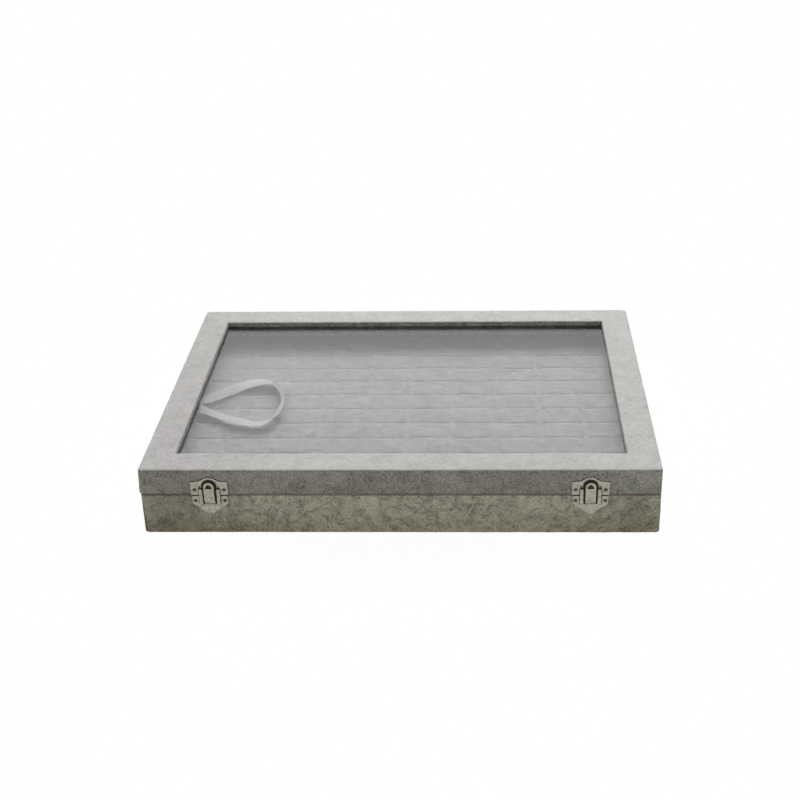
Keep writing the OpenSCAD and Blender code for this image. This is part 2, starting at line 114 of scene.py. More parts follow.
def arc_points(cx, cz, r, a0, a1, n):
    turns = [math.radians(a0 + (a1 - a0) * k / n) for k in range(n + 1)]
    return [(cx + r * math.cos(t), cz + r * math.sin(t)) for t in turns]


def line_points(p, q, step):
    n = max(1, round(math.dist(p, q) / step))
    return [(p[0] + (q[0] - p[0]) * k / n, p[1] + (q[1] - p[1]) * k / n) for k in range(n + 1)]


def chain(*parts):
    """The parts' points in one list, without doubles where they meet."""
    pts = []
    for part in parts:
        for p in part:
            if not pts or math.dist(p, pts[-1]) > 1e-3:
                pts.append(p)
    return pts


def sweep_round_box(profile):
    """Closed skin from a closed profile of (inset, height) points carried round the box."""
    rows, dirs = [], []
    for inset, z in profile:
        xy, out = loop_xy(inset)
        rows.append(np.column_stack([xy, np.full(len(xy), z)]))
        dirs.append(out)
    m, n = len(rows), len(rows[0])
    faces = []
    for i in range(m):
        i2 = (i + 1) % m
        for j in range(n):
            j2 = (j + 1) % n
            faces.append((i * n + j, i2 * n + j, i2 * n + j2, i * n + j2))
    return np.vstack(rows), np.vstack(dirs), faces, n


def profile_normals(profile):
    p = np.array(profile)
    t = np.roll(p, -1, 0) - np.roll(p, 1, 0)
    t /= np.linalg.norm(t, axis=1)[:, None] + 1e-9
    return np.column_stack([-t[:, 1], t[:, 0]])


PRESS_W, LATCH_PRESS_H, HINGE_PRESS_H = 13.5, 15.5, 12.0    # half sizes round the fittings
PRESS_FADE, PRESS_BAND = 1.5, 3.0


def plate_press(points, back):
    """1 under the metal fittings, where they press the pile flat, falling to 0 around them."""
    if back:
        at_side = points[:, 1] > HD - PRESS_BAND
    else:
        at_side = points[:, 1] < -HD + PRESS_BAND
    dx = np.abs(np.abs(points[:, 0]) - FIT_X) - PRESS_W
    dz = np.abs(points[:, 2] - SEAM_Z) - (HINGE_PRESS_H if back else LATCH_PRESS_H)
    d = np.maximum(np.maximum(dx, dz), 0)
    return np.where(at_side, np.exp(-((d / PRESS_FADE) ** 2)), 0)


# ---------- materials ----------
class Nodes:
    """Short ways to add shader nodes to a node tree."""

    def __init__(self, tree):
        self.tree = tree

    def add(self, kind, **props):
        node = self.tree.nodes.new(kind)
        for key, value in props.items():
            setattr(node, key, value)
        return node

    def put(self, socket, value):
        if isinstance(value, bpy.types.NodeSocket):
            self.tree.links.new(value, socket)
        elif isinstance(value, tuple) and len(value) == 3 and len(socket.default_value) == 4:
            socket.default_value = (*value, 1)
        else:
            socket.default_value = value

    def math(self, op, a, b=None):
        node = self.add("ShaderNodeMath", operation=op)
        self.put(node.inputs[0], a)
        if b is not None:
            self.put(node.inputs[1], b)
        return node.outputs[0]

    def times(self, a, b):
        return self.math("MULTIPLY", a, b)

    def shares(self, a, share_a, b, share_b):
        """The sum of two values, each times its share."""
        return self.math("ADD", self.times(a, share_a), self.times(b, share_b))

    def away(self, a, b):
        """How far two values are apart."""
        return self.math("ABSOLUTE", self.math("SUBTRACT", a, b))

    def span(self, value, low, high, to_low=0.0, to_high=1.0, curve="LINEAR"):
        node = self.add("ShaderNodeMapRange", clamp=True, interpolation_type=curve)
        self.put(node.inputs["Value"], value)
        limits = (("From Min", low), ("From Max", high), ("To Min", to_low), ("To Max", to_high))
        for key, v in limits:
            self.put(node.inputs[key], v)
        return node.outputs["Result"]

    def mix(self, fac, a, b, blend="MIX"):
        node = self.add("ShaderNodeMix", data_type="RGBA", blend_type=blend)
        self.put(node.inputs["Factor"], fac)
        self.put(node.inputs[6], a)
        self.put(node.inputs[7], b)
        return node.outputs[2]

    def axes(self, vector):
        node = self.add("ShaderNodeSeparateXYZ")
        self.put(node.inputs[0], vector)
        return node.outputs

    def seen_directly(self):
        """1 for camera, glossy and transmission rays, 0 for the rays that carry light."""
        path = self.add("ShaderNodeLightPath").outputs
        either = path["Is Camera Ray"]
        for ray in ("Is Glossy Ray", "Is Transmission Ray"):
            either = self.math("MAXIMUM", either, path[ray])
        # a ray that has already lit a matt surface carries light, also where it leaves
        # through the glass
        return self.times(either, self.math("LESS_THAN", path["Diffuse Depth"], 0.5))


class Paint(Nodes):
    """A material with one principled shader; places and sizes are given in millimetres."""

    def __init__(self, name):
        self.material = bpy.data.materials.new(name)
        self.material.use_nodes = True
        super().__init__(self.material.node_tree)
        self.bsdf = next(n for n in self.tree.nodes if n.type == "BSDF_PRINCIPLED")
        self.coord = self.add("ShaderNodeTexCoord").outputs["Object"]

    def scaled(self, x, y, z, turn=(0, 0, 0)):
        node = self.add("ShaderNodeMapping")
        self.put(node.inputs["Vector"], self.coord)
        node.inputs["Scale"].default_value = (x, y, z)
        node.inputs["Rotation"].default_value = turn
        return node.outputs["Vector"]

    def texture(self, node, size, vector):
        self.put(node.inputs["Vector"], vector if vector is not None else self.coord)
        node.inputs["Scale"].default_value = 1 / (size * MM)

    def noise(self, size, detail=3, rough=0.55, distort=0.0, vector=None):
        node = self.add("ShaderNodeTexNoise")
        self.texture(node, size, vector)
        node.inputs["Detail"].default_value = detail
        node.inputs["Roughness"].default_value = rough
        node.inputs["Distortion"].default_value = distort
        return node.outputs["Fac"]

    def cells(self, size, feature="F1", vector=None):
        node = self.add("ShaderNodeTexVoronoi", feature=feature)
        self.texture(node, size, vector)
        return node.outputs["Distance"]

    def wave(self, size, distort, detail):
        node = self.add("ShaderNodeTexWave", bands_direction="DIAGONAL")
        self.texture(node, size, None)
        node.inputs["Distortion"].default_value = distort
        node.inputs["Detail"].default_value = detail
        return node.outputs["Fac"]

    def place(self, value, low, high, to_low, to_high):
        """A ramp along a coordinate, between two places in millimetres."""
        return self.span(value, low * MM, high * MM, to_low, to_high)

    def shade_or_tint(self, fac, colour, by):
        """The colour times another one, as far as fac says."""
        return self.mix(fac, colour, self.mix(1.0, colour, by, "MULTIPLY"))

    def facing(self):
        return self.axes(self.add("ShaderNodeTexCoord").outputs["Normal"])

    def bump(self, height, distance, strength, normal=None):
        node = self.add("ShaderNodeBump")
        self.put(node.inputs["Height"], height)
        node.inputs["Distance"].default_value = distance
        node.inputs["Strength"].default_value = strength
        if normal is not None:
            self.put(node.inputs["Normal"], normal)
        return node.outputs["Normal"]

    def set(self, **values):
        for key, value in values.items():
            self.put(self.bsdf.inputs[key.replace("_", " ")], value)
        return self.material


# places on the velvet, in millimetres: each pair is where a change starts and ends
LEFT_END_SHADE, RIGHT_END_SHADE, FOOT = (-150, -85), (100, 150), (0, 16)
SEAM_ROLL = (0.5, 1.2)
OPENING_MID, OPENING_W, OPENING_H, OPENING_Y = 33.5, (5.1, 5.5), (9.7, 10.1), (-119, -118)
FOLD_X, FOLD_Y, FOLD_Z = (-174.1, -172.2), (-117.4, -116.6), (6, 27)
# colours of painted shade: along the seam, in the latches' openings and down the front left corner
SEAM_SHADE = (0.3, 0.3, 0.29)
OPENING_SHADE_COLOUR, FOLD_SHADOW_COLOUR = (0.02, 0.02, 0.018), (0.03, 0.03, 0.026)


def velvet(name, top, side, hues, crush, crush_size, grain, side_crush=0.4, sheen=0.3,
           foot=None, end=None):
    """Short pile: fine nap, mottling where it leans, crushed patches, and more contrast on
    upright faces, whose side colours are mostly darker as painted shade. top and side each give a
    dark and a light colour, hues two slight tints; end paints shade towards the box's ends, and
    foot tints the cloth yellower near the floor."""
    p = Paint(name)
    patch = p.noise(crush_size, 5, 0.58, 0.9)
    streak = p.noise(crush_size * 0.45, 4, 0.62, 1.4, p.scaled(0.8, 1, 1.25, (0.2, 0.5, 0.1)))
    lean = p.noise(2.6, 3, 0.6, 0.5)
    pile = p.noise(1.15, 3, 0.72)
    nap = p.noise(0.5, 2, 0.7)
    fleck = p.noise(1.35, 2, 0.75)
    big = p.shares(p.span(patch, 0.36, 0.64), 0.6, p.span(streak, 0.36, 0.64), 0.4)
    fine = p.shares(p.span(pile, 0.34, 0.66), 0.65, p.span(lean, 0.33, 0.67), 0.35)
    tone = p.math("ADD", p.shares(big, crush, fine, grain), p.times(nap, 1.0 - crush - grain))
    broad = p.noise(crush_size * 1.5, 2, 0.5, 1.6)
    ridge = p.away(p.noise(crush_size * 1.1, 3, 0.55, 0.8), 0.5)
    sides = p.shares(p.span(broad, 0.38, 0.62), 0.5, p.span(ridge, 0.0, 0.05), 0.5)
    sides = p.shares(sides, side_crush, p.span(fleck, 0.38, 0.62), 1.0 - side_crush)
    # upright faces take the side colours: painted shade, as the light falls from above
    facing = p.facing()
    upright = p.span(facing["Z"], 0.45, 0.9, 1.0, 0.0)
    colour = p.mix(upright, p.mix(tone, *top), p.mix(sides, *side))
    hue = p.span(p.noise(120, 1, 0.4), 0.38, 0.62)
    colour = p.mix(0.5, colour, p.mix(hue, *hues), "SOFT_LIGHT")
    at = p.axes(p.coord)
    if end:
        # painted shade, darker towards the box's left end
        colour = p.shade_or_tint(p.place(at["X"], *LEFT_END_SHADE, 1.0, 0.0), colour, end)
        # painted shade along the seam, where the pile rolls in and turns away from the light
        rolled = p.span(p.math("ABSOLUTE", facing["Z"]), 0.75, 0.95, 1.0, 0.0)
        crease_shade = p.place(p.away(at["Z"], SEAM_Z * MM), *SEAM_ROLL, 0.75, 0.0)
        colour = p.shade_or_tint(p.times(crease_shade, rolled), colour, SEAM_SHADE)
        # painted shade, near black, on the cloth that lies behind the openings of the latches
        aside = p.away(p.math("ABSOLUTE", at["X"]), FIT_X * MM)
        level = p.away(at["Z"], OPENING_MID * MM)
        opening_shade = p.times(p.place(aside, *OPENING_W, 1.0, 0.0), p.place(level, *OPENING_H, 1.0, 0.0))
        opening_shade = p.times(opening_shade, p.place(at["Y"], *OPENING_Y, 0.86, 0.0))
        colour = p.mix(opening_shade, colour, OPENING_SHADE_COLOUR)
    if foot:
        # painted shade, darker towards the box's right end
        colour = p.shade_or_tint(p.place(at["X"], *RIGHT_END_SHADE, 0.0, 0.6), colour, end)
        colour = p.shade_or_tint(p.place(at["Z"], *FOOT, 1.0, 0.0), colour, foot)
        # painted shadow down the front left corner, where the cloth is folded
        fold_shadow = p.times(p.place(at["X"], *FOLD_X, 0.95, 0.0), p.place(at["Y"], *FOLD_Y, 1.0, 0.0))
        fold_shadow = p.times(fold_shadow, p.place(at["Z"], *FOLD_Z, 1.0, 0.1))
        colour = p.mix(fold_shadow, colour, FOLD_SHADOW_COLOUR)
    low = p.bump(p.shares(patch, 0.6, lean, 0.4), 0.0014 * crush + 0.0003, 0.6)
    return p.set(
        Base_Color=colour,
        Roughness=p.span(tone, 0, 1, 0.98, 0.8),
        Normal=p.bump(p.shares(pile, 0.6, nap, 0.4), 0.00045, 0.7, low),
        Specular_IOR_Level=0.1,
        Sheen_Weight=sheen,
        Sheen_Roughness=0.35,
        Sheen_Tint=(0.95, 0.95, 0.93),
    )


def metal(name, bright, dull, rough):
    """Plated stamping: faint drawing lines, hazy patches, small scratches and spots of wear,
    and grime with painted shade in its corners."""
    p = Paint(name)
    haze = p.noise(2.2, 4, 0.65, 0.4)
    lines = p.noise(0.5, 2, 0.6, 0, p.scaled(0.06, 1, 1))
    spots = p.span(p.cells(1.1), 0.0, 0.09, 1, 0)
    scratch = p.cells(2.4, "DISTANCE_TO_EDGE", p.scaled(0.35, 1, 1.4, (0.3, 0.7, 0.2)))
    scratch = p.span(scratch, 0.0, 0.012, 1, 0)
    tone = p.shares(p.span(haze, 0.35, 0.68), 0.7, lines, 0.3)
    worn = (dull[0] * 0.6, dull[1] * 0.56, dull[2] * 0.5)
    colour = p.mix(p.times(spots, 0.35), p.mix(tone, dull, bright), worn)
    # grime and painted shade: near black where corners and crevices are enclosed
    corner = p.add("ShaderNodeAmbientOcclusion", samples=8)
    corner.inputs["Distance"].default_value = 0.0028
    colour = p.mix(p.span(corner.outputs["AO"], 0.64, 0.96), tuple(0.03 * v for v in dull), colour)
    height = p.math("SUBTRACT", p.shares(haze, 0.7, lines, 0.3), p.times(scratch, 0.4))
    hazy = p.span(haze, 0.3, 0.7, rough + 0.12, rough - 0.08)
    return p.set(
        Base_Color=colour,
        Metallic=1.0,
        Roughness=p.math("ADD", hazy, p.times(scratch, 0.18)),
        Normal=p.bump(height, 0.00012, 0.55),
    )


def ribbon_cloth():
    """Thin woven ribbon: crosswise ribs, fine warp, slightly see-through."""
    p = Paint("ribbon_cloth")
    weft = p.wave(0.9, 1.5, 2)
    warp = p.noise(0.35, 2, 0.6)
    soft = p.noise(5, 2, 0.5)
    tone = p.shares(weft, 0.35, warp, 0.65)
    colour = p.mix(tone, (0.35, 0.353, 0.358), (0.475, 0.48, 0.485))
    colour = p.mix(p.span(soft, 0.4, 0.65, 0, 0.35), colour, (0.37, 0.38, 0.4))
    return p.set(
        Base_Color=colour,
        Subsurface_Weight=0.8,
        Subsurface_Radius=(0.004, 0.004, 0.004),
        Subsurface_Scale=1.0,
        Roughness=0.5,
        Alpha=p.span(tone, 0.25, 0.75, 0.58, 0.82),
        Normal=p.bump(tone, 0.00012, 0.6),
        Sheen_Weight=0.25,
        Sheen_Roughness=0.4,
        Specular_IOR_Level=0.35,
    )


def board_fibre():
    """Fibreboard, with the velvet's glued edge on its downward faces."""
    p = Paint("fibreboard")
    fibre = p.noise(0.7, 4, 0.65, 0.3, p.scaled(0.35, 1, 1))
    flake = p.cells(1.6, "F1", p.scaled(0.4, 1, 0.7))
    tone = p.shares(fibre, 0.6, flake, 0.5)
    colour = p.mix(tone, (0.3, 0.2, 0.11), (0.56, 0.42, 0.26))
    nap = p.mix(tone, (0.16, 0.16, 0.153), (0.36, 0.36, 0.345))
    colour = p.mix(p.span(p.facing()["Z"], -0.9, -0.5, 1.0, 0.0), colour, nap)
    return p.set(
        Base_Color=colour,
        Roughness=p.span(fibre, 0.3, 0.7, 0.75, 0.92),
        Normal=p.bump(tone, 0.0002, 0.5),
    )


def grey_card():
    p = Paint("grey_card")
    fibre = p.noise(0.5, 5, 0.7, 0.2)
    cloud = p.noise(14, 2)
    return p.set(
        Base_Color=p.mix(p.times(fibre, cloud), (0.2, 0.2, 0.195), (0.42, 0.415, 0.4)),
        Roughness=p.span(fibre, 0.3, 0.7, 0.9, 0.78),
        Normal=p.bump(fibre, 0.0001, 0.4),
    )


def felt():
    """Matted hairs with a few paler threads of lint."""
    p = Paint("felt_cloth")
    hairs = p.noise(0.45, 4, 0.75, 2.5)
    clumps = p.noise(3.5, 3, 0.6)
    lint = p.cells(9, "DISTANCE_TO_EDGE", p.scaled(1, 0.3, 1, (0, 0, 0.6)))
    lint = p.span(lint, 0.0, 0.01, 0.5, 0)
    tone = p.shares(hairs, 0.7, clumps, 0.3)
    colour = p.mix(p.span(tone, 0.3, 0.7), (0.016, 0.016, 0.018), (0.06, 0.06, 0.064))
    return p.set(
        Base_Color=p.mix(p.times(lint, hairs), colour, (0.2, 0.2, 0.2)),
        Roughness=p.span(tone, 0.3, 0.7, 0.98, 0.88),
        Normal=p.bump(tone, 0.0004, 0.8),
        Sheen_Weight=0.15,
    )


def clear_glass():
    p = Paint("window_glass")
    dust = p.noise(0.8, 3, 0.7)
    smear = p.noise(60, 3, 0.5, 1.2)
    # half of the lamp's light goes straight through the pane and reaches the pad
    shadow = p.add("ShaderNodeLightPath").outputs["Is Shadow Ray"]
    return p.set(
        Base_Color=(0.985, 0.992, 0.988),
        Roughness=p.times(p.span(smear, 0.45, 0.75), p.span(dust, 0.45, 0.8, 0.0, 0.05)),
        Normal=p.bump(smear, 0.00004, 0.15),
        Transmission_Weight=1.0,
        IOR=1.5,
        Alpha=p.span(shadow, 0, 1, 1.0, 0.5),
    )


LID_CLOTH = velvet(
    "lid_velvet_cloth",
    top=((0.29, 0.29, 0.28), (0.56, 0.56, 0.545)),
    side=((0.097, 0.095, 0.088), (0.345, 0.338, 0.31)),
    hues=((0.52, 0.49, 0.51), (0.49, 0.51, 0.48)),
    crush=0.3, crush_size=14, grain=0.55, side_crush=0.42, end=(0.91, 0.9, 0.9),
)
BASE_CLOTH = velvet(
    "base_velvet_cloth",
    top=((0.24, 0.235, 0.205), (0.62, 0.61, 0.54)),
    side=((0.125, 0.12, 0.1), (0.535, 0.518, 0.43)),
    hues=((0.51, 0.495, 0.47), (0.49, 0.51, 0.47)),
    crush=0.5, crush_size=9, grain=0.38, side_crush=0.6,
    foot=(1.0, 0.96, 0.84), end=(0.66, 0.65, 0.64),
)
# the strips' near-black colour is painted shade under the edge of the glass
STRIP_SHADE_CLOTH = velvet(
    "strip_shade_cloth",
    top=((0.06, 0.06, 0.058), (0.12, 0.12, 0.113)),
    side=((0.09, 0.09, 0.085), (0.2, 0.2, 0.188)),
    hues=((0.5, 0.49, 0.49), (0.49, 0.5, 0.49)),
    crush=0.3, crush_size=8, grain=0.5, sheen=0.1,
)
PAD_CLOTH = velvet(
    "pad_velvet_cloth",
    top=((0.19, 0.192, 0.19), (0.36, 0.363, 0.36)),
    side=((0.16, 0.16, 0.158), (0.28, 0.28, 0.276)),
    hues=((0.5, 0.49, 0.49), (0.49, 0.51, 0.5)),
    crush=0.6, crush_size=9, grain=0.3,
)
NICKEL = metal("nickel_plate", (0.47, 0.448, 0.37), (0.24, 0.225, 0.18), 0.32)
NAIL = metal("nail_head", (0.11, 0.1, 0.08), (0.025, 0.022, 0.018), 0.4)
STEEL = metal("drawn_steel", (0.5, 0.5, 0.48), (0.3, 0.3, 0.28), 0.24)
RIBBON = ribbon_cloth()
BOARD = board_fibre()
CARD = grey_card()
FELT = felt()
GLASS = clear_glass()


# ---------- cloth over the base and the lid ----------
LIFT, PRESSED = 0.16, 0.05      # the cloth's unevenness, and how far the fittings press it
FADE_ROWS = 3                   # rows over which the unevenness starts from the cloth's edge
PUFF = 0.9                      # how far the lid's cloth stands proud at its left side


def cloth_skin(name, outer, inner, material, puff=0.0):
    """The cloth as a closed skin whose outer side is slightly uneven."""
    profile = outer + inner
    verts, dirs, faces, n = sweep_round_box(profile)
    normals = profile_normals(profile)
    keep = len(outer)
    shown = verts[: keep * n]
    wave = 0.6 * bumps(shown, 9.0, 2, 3.1) + 0.4 * bumps(shown, 2.6, 1, 8.2)
    press = np.maximum(plate_press(shown, False), plate_press(shown, True))
    amount = LIFT * wave * (1 - press) - PRESSED * press
    for i in range(keep):
        rows = slice(i * n, (i + 1) * n)
        a = amount[rows] * min(1.0, min(i, keep - 1 - i) / FADE_ROWS)
        if puff:
            slack = np.clip((BOX_H - 1 - verts[rows, 2]) / (BOX_H - LID_Z - 2), 0, 1)
            slack *= np.clip(-dirs[rows, 0], 0, 1)
            verts[rows, 0] -= puff * slack * (profile[i][0] < 0.3)
        verts[rows, 0] -= dirs[rows, 0] * normals[i, 0] * a
        verts[rows, 1] -= dirs[rows, 1] * normals[i, 0] * a
        verts[rows, 2] += normals[i, 1] * a
    return make_piece(name, verts, faces, material)


SKIN = 0.56                     # the skin's thickness

# base: from the turned-under hem, over the side and the rim, down inside the walls
HEM, HEM_Z, HEM_R = 13.9, 0.13, 0.75
RIM_R, LIP_R = 1.2, 0.78        # roundings of the rim's outer and inner edge
WALL_IN, LINING_LOW = 9.98, 5.4
outer = chain(
    line_points((HEM, HEM_Z), (HEM_R, HEM_Z), 2.2),
    arc_points(HEM_R, HEM_Z + HEM_R, HEM_R, 270, 180, 4),
    line_points((0, HEM_Z + HEM_R), (0, BASE_H - RIM_R), 1.7),
    arc_points(RIM_R, BASE_H - RIM_R, RIM_R, 180, 90, 6),
    line_points((RIM_R, BASE_H), (WALL_IN - LIP_R, BASE_H), 2.0),
    arc_points(WALL_IN - LIP_R, BASE_H - LIP_R, LIP_R, 90, 0, 4),
    line_points((WALL_IN, BASE_H - 0.8), (WALL_IN, LINING_LOW), 2.6),
)
inner = chain(
    line_points((9.64, LINING_LOW), (9.64, 29.6), 8),
    [(9.3, BASE_H - SKIN), (0.9, BASE_H - SKIN), (SKIN, 29.7)],
    line_points((SKIN, 29.7), (SKIN, 0.9), 8),
    [(0.8, SKIN), (HEM, SKIN)],
)
base_cloth = cloth_skin("base_velvet", outer, inner, BASE_CLOTH)
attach(base_cloth, "base")
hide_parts("base_velvet_wrap", "base_lining")

# lid: from the glass, over the window's edge and the top, down the side, under the rail and up
# the rail's inner wall
WIN_R, TOP_R, LOW_R = 1.5, 1.6, 0.7
TOP_IN = WIN_INSET - WIN_R      # where the top's flat ends at the window
INNER_SKIN = 0.54               # the skin's thickness under the rail and up its inner wall
outer = chain(
    line_points((WIN_INSET, GLASS_TOP + 0.06), (WIN_INSET, BOX_H - WIN_R), 0.6),
    arc_points(TOP_IN, BOX_H - WIN_R, WIN_R, 0, 90, 6),
    line_points((TOP_IN, BOX_H), (TOP_R, BOX_H), 1.9),
    arc_points(TOP_R, BOX_H - TOP_R, TOP_R, 90, 180, 7),
    line_points((0, BOX_H - TOP_R), (0, LID_Z + LOW_R), 1.7),
    arc_points(LOW_R, LID_Z + LOW_R, LOW_R, 180, 270, 4),
    line_points((LOW_R, LID_Z), (RABBET - LOW_R, LID_Z), 2.4),
    arc_points(RABBET - LOW_R, LID_Z + LOW_R, LOW_R, 270, 360, 4),
    line_points((RABBET, LID_Z + LOW_R), (RABBET, GLASS_TOP - 0.05), 2.6),
)
inner = chain(
    line_points((RABBET - INNER_SKIN, GLASS_TOP - 0.05), (RABBET - INNER_SKIN, LID_Z + 0.9), 8),
    [(RABBET - 0.9, LID_Z + INNER_SKIN), (0.9, LID_Z + INNER_SKIN), (SKIN, LID_Z + 0.9)],
    line_points((SKIN, LID_Z + 0.9), (SKIN, BOX_H - TOP_R), 6),
    arc_points(TOP_R, BOX_H - TOP_R, TOP_R - SKIN, 180, 90, 3),
    line_points((TOP_R, BOX_H - SKIN), (TOP_IN, BOX_H - SKIN), 5),
    arc_points(TOP_IN, BOX_H - WIN_R, WIN_R - SKIN, 90, 0, 3),
    [(WIN_INSET - SKIN, GLASS_TOP + 0.06)],
)
lid_cloth = cloth_skin("lid_velvet", outer[::-1], inner[::-1], LID_CLOTH, PUFF)
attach(lid_cloth, "lid")
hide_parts("lid_velvet_wrap")


# ---------- covered strips under the glass ----------
STRIP_R = 0.5


def strip_marks(a, b, step):
    """Places along a strip's edge, closer at its rounded ends."""
    n = max(2, round((b - a - 2 * STRIP_R) / step))
    flat = [a + STRIP_R + (b - a - 2 * STRIP_R) * k / n for k in range(n + 1)]
    start = [a, a + 0.15 * STRIP_R, a + 0.5 * STRIP_R]
    return start + flat + [b - 0.5 * STRIP_R, b - 0.15 * STRIP_R, b]


def soft_bar(name, low, high):
    """A cloth-covered strip with rounded edges, made as a fine closed block."""
    axes = [strip_marks(a, b, step) for a, b, step in zip(low, high, (3.0, 3.0, 2.4))]
    lo, hi = np.array(low) + STRIP_R, np.array(high) - STRIP_R
    index, verts, faces = {}, [], []

    def vert(i, j, k):
        if (i, j, k) not in index:
            p = np.array([axes[0][i], axes[1][j], axes[2][k]])
            core = np.clip(p, lo, hi)
            d = p - core
            length = np.linalg.norm(d)
            if length > 1e-9:
                p = core + d / length * STRIP_R
            index[(i, j, k)] = len(verts)
            verts.append(p)
        return index[(i, j, k)]

    n = [len(a) - 1 for a in axes]
    for fixed in range(3):
        u, v = [a for a in range(3) if a != fixed]
        for end in (0, n[fixed]):
            for a in range(n[u]):
                for b in range(n[v]):
                    quad = []
                    for da, db in ((0, 0), (1, 0), (1, 1), (0, 1)):
                        c = [0, 0, 0]
                        c[fixed], c[u], c[v] = end, a + da, b + db
                        quad.append(vert(*c))
                    flip = (end == 0) ^ (fixed == 1)
                    faces.append(quad[::-1] if flip else quad)
    return make_piece(name, verts, faces, STRIP_SHADE_CLOTH)


OUT_X, OUT_Y = HW - RABBET - 0.15, HD - RABBET - 0.15
STRIP_X, STRIP_Y = OUT_X - STRIP_W + 0.1, OUT_Y - STRIP_W + 0.1
STRIP_LOW, STRIP_TOP = GLASS_LOW - STRIP_H, GLASS_LOW - 0.02
for side, x0, x1, y0, y1 in (
    ("front", -OUT_X, OUT_X, -OUT_Y, -STRIP_Y),
    ("back", -OUT_X, OUT_X, STRIP_Y, OUT_Y),
    ("left", -OUT_X, -STRIP_X, -STRIP_Y, STRIP_Y),
    ("right", STRIP_X, OUT_X, -STRIP_Y, STRIP_Y),
):
    strip = soft_bar("stop_" + side, (x0, y0, STRIP_LOW), (x1, y1, STRIP_TOP))
    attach(strip, "lid")
    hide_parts("glass_stop_" + side)


# ---------- ring pad ----------
SLIT_HALF = 13.0                # half a slit's length
PAD_EDGE = 1.6                  # rounding of the pad's edges
COL_MARKS = (1.4, 4, 6.5, 9, 11, 12.2, 12.7, 13.0, 13.5, 14.6)
SLIT_MARKS = (("edge", 1.35), ("lip", 1.0), ("wall", 0.55))
MARKS_BEFORE = (10.3, 9.2, 7.8, 6.2, 4.7, 3.4, 2.3, 1.5)
MARKS_AFTER = (1.5, 2.3, 3.4, 4.7, 6.2, 7.8, 9.4)
PAD_SIDES = ((27.5, 0.12), (20.0, 0.02), (12.0, 0.05), (PAD_LOW + 0.6, 0.1), (PAD_LOW, 0.5))


def pad_columns():
    """Places of the pad's lines across, closer at the slits' ends."""
    ends = [PAD_X - d for d in (0, 0.25, 0.8, PAD_EDGE)]
    xs = ends + [-x for x in ends]
    for i in range(COLS):
        c = (i - (COLS - 1) / 2) * COL_PITCH
        xs += [c + s for s in COL_MARKS] + [c - s for s in COL_MARKS]
        if i < COLS - 1:
            xs.append(c + COL_PITCH / 2)
    return sorted(x for x in set(round(x, 4) for x in xs) if -PAD_X <= x <= PAD_X)


def pad_rows():
    """The pad's lines in depth: each one's place, its slit, its kind and its way from the slit."""
    rows = [(-PAD_Y + d, None, "end", 0) for d in (0, 0.5, PAD_EDGE, 4.5)]
    for j in range(ROWS):
        c = (j - (ROWS - 1) / 2) * ROW_PITCH + ROW_SHIFT
        rows += [(c - s, c, "open", -s) for s in MARKS_BEFORE]
        rows += [(c - s, c, kind, -s) for kind, s in SLIT_MARKS]
        rows.append((c, c, "deep", 0.0))
        rows += [(c + s, c, kind, s) for kind, s in SLIT_MARKS[::-1]]
        rows += [(c + s, c, "open", s) for s in MARKS_AFTER]
    rows.append((c + MARKS_BEFORE[0], c, "open", MARKS_BEFORE[0]))
    return rows + [(PAD_Y - d, None, "end", 0) for d in (PAD_EDGE, 0.5, 0)]


def pad_point(x, y, slit, kind, off):
    """A point of the pad's top, which swells between the slits and is tucked into them."""
    col = min(max(round(x / COL_PITCH + (COLS - 1) / 2), 0), COLS - 1)
    dx = abs(x - (col - (COLS - 1) / 2) * COL_PITCH)
    opened = math.sqrt(max(0.0, 1 - (dx / SLIT_HALF) ** 2))
    between = min(1, max(0, (dx - 11.5) / 3.5))
    # each slit is shut more or less tightly
    tight = 0.5 + 0.9 * noise.noise(Vector((1.7 * col + 5.3, y / ROW_PITCH, 8.9)))
    tight = min(1, max(0.15, tight))
    gape = 0.02 + 0.04 * opened * tight
    swell = abs(math.cos(math.pi * (y - ROW_SHIFT) / ROW_PITCH))
    rise = swell + (swell * swell - swell) * between if slit is not None else 0.9
    hold = (1 - 0.45 * between) * (0.78 + 0.1 * tight - 0.18 * x / PAD_X)
    z = PAD_CREST - (PAD_CREST - PAD_VALLEY) * (1 - rise) * hold
    yy = y
    if slit is not None:
        z += 0.22 * math.exp(-(((abs(off) - 3.0) / 2.2) ** 2)) * opened
        z -= 0.4 * math.exp(-(((dx - SLIT_HALF) / 1.5) ** 2) - (off / 2.0) ** 2)
    if kind in ("deep", "wall", "lip"):
        yy = slit + gape * off
    if kind == "edge":
        yy = slit + math.copysign(gape + 0.6, off)
        z -= 0.05 * opened
    if kind == "lip":
        z -= 0.07 * (1 - between) + 0.14 * tight * opened
    if kind == "wall":
        z -= 0.12 * (1 - between) + 11.5 * min(1, opened * 3)
    if kind == "deep":
        z -= 0.25 * (1 - between) + 12.5 * min(1, opened * 3)
    end_x, end_y = PAD_X - abs(x), PAD_Y - abs(yy)
    for d in (end_x, end_y):
        if d < PAD_EDGE:
            z -= 1.1 * (1 - d / PAD_EDGE) ** 2
    # the slits were cut by hand and wander a little
    drift = 0.8 * noise.noise(Vector((x / 17, y / 15, 7.7)))
    drift += 1.6 * noise.noise(Vector((2.3 * col + 0.4, y / ROW_PITCH, 3.1))) * opened
    drift *= min(1, max(0, min(end_x, end_y) / 6))
    return x, yy + drift, z


def grid_rim(nx, ny):
    """Numbers of a grid's edge points in order round it, for rows of nx points."""
    rim = list(range(nx)) + [j * nx + nx - 1 for j in range(1, ny)]
    rim += [(ny - 1) * nx + i for i in range(nx - 2, -1, -1)]
    return rim + [j * nx for j in range(ny - 2, 0, -1)]


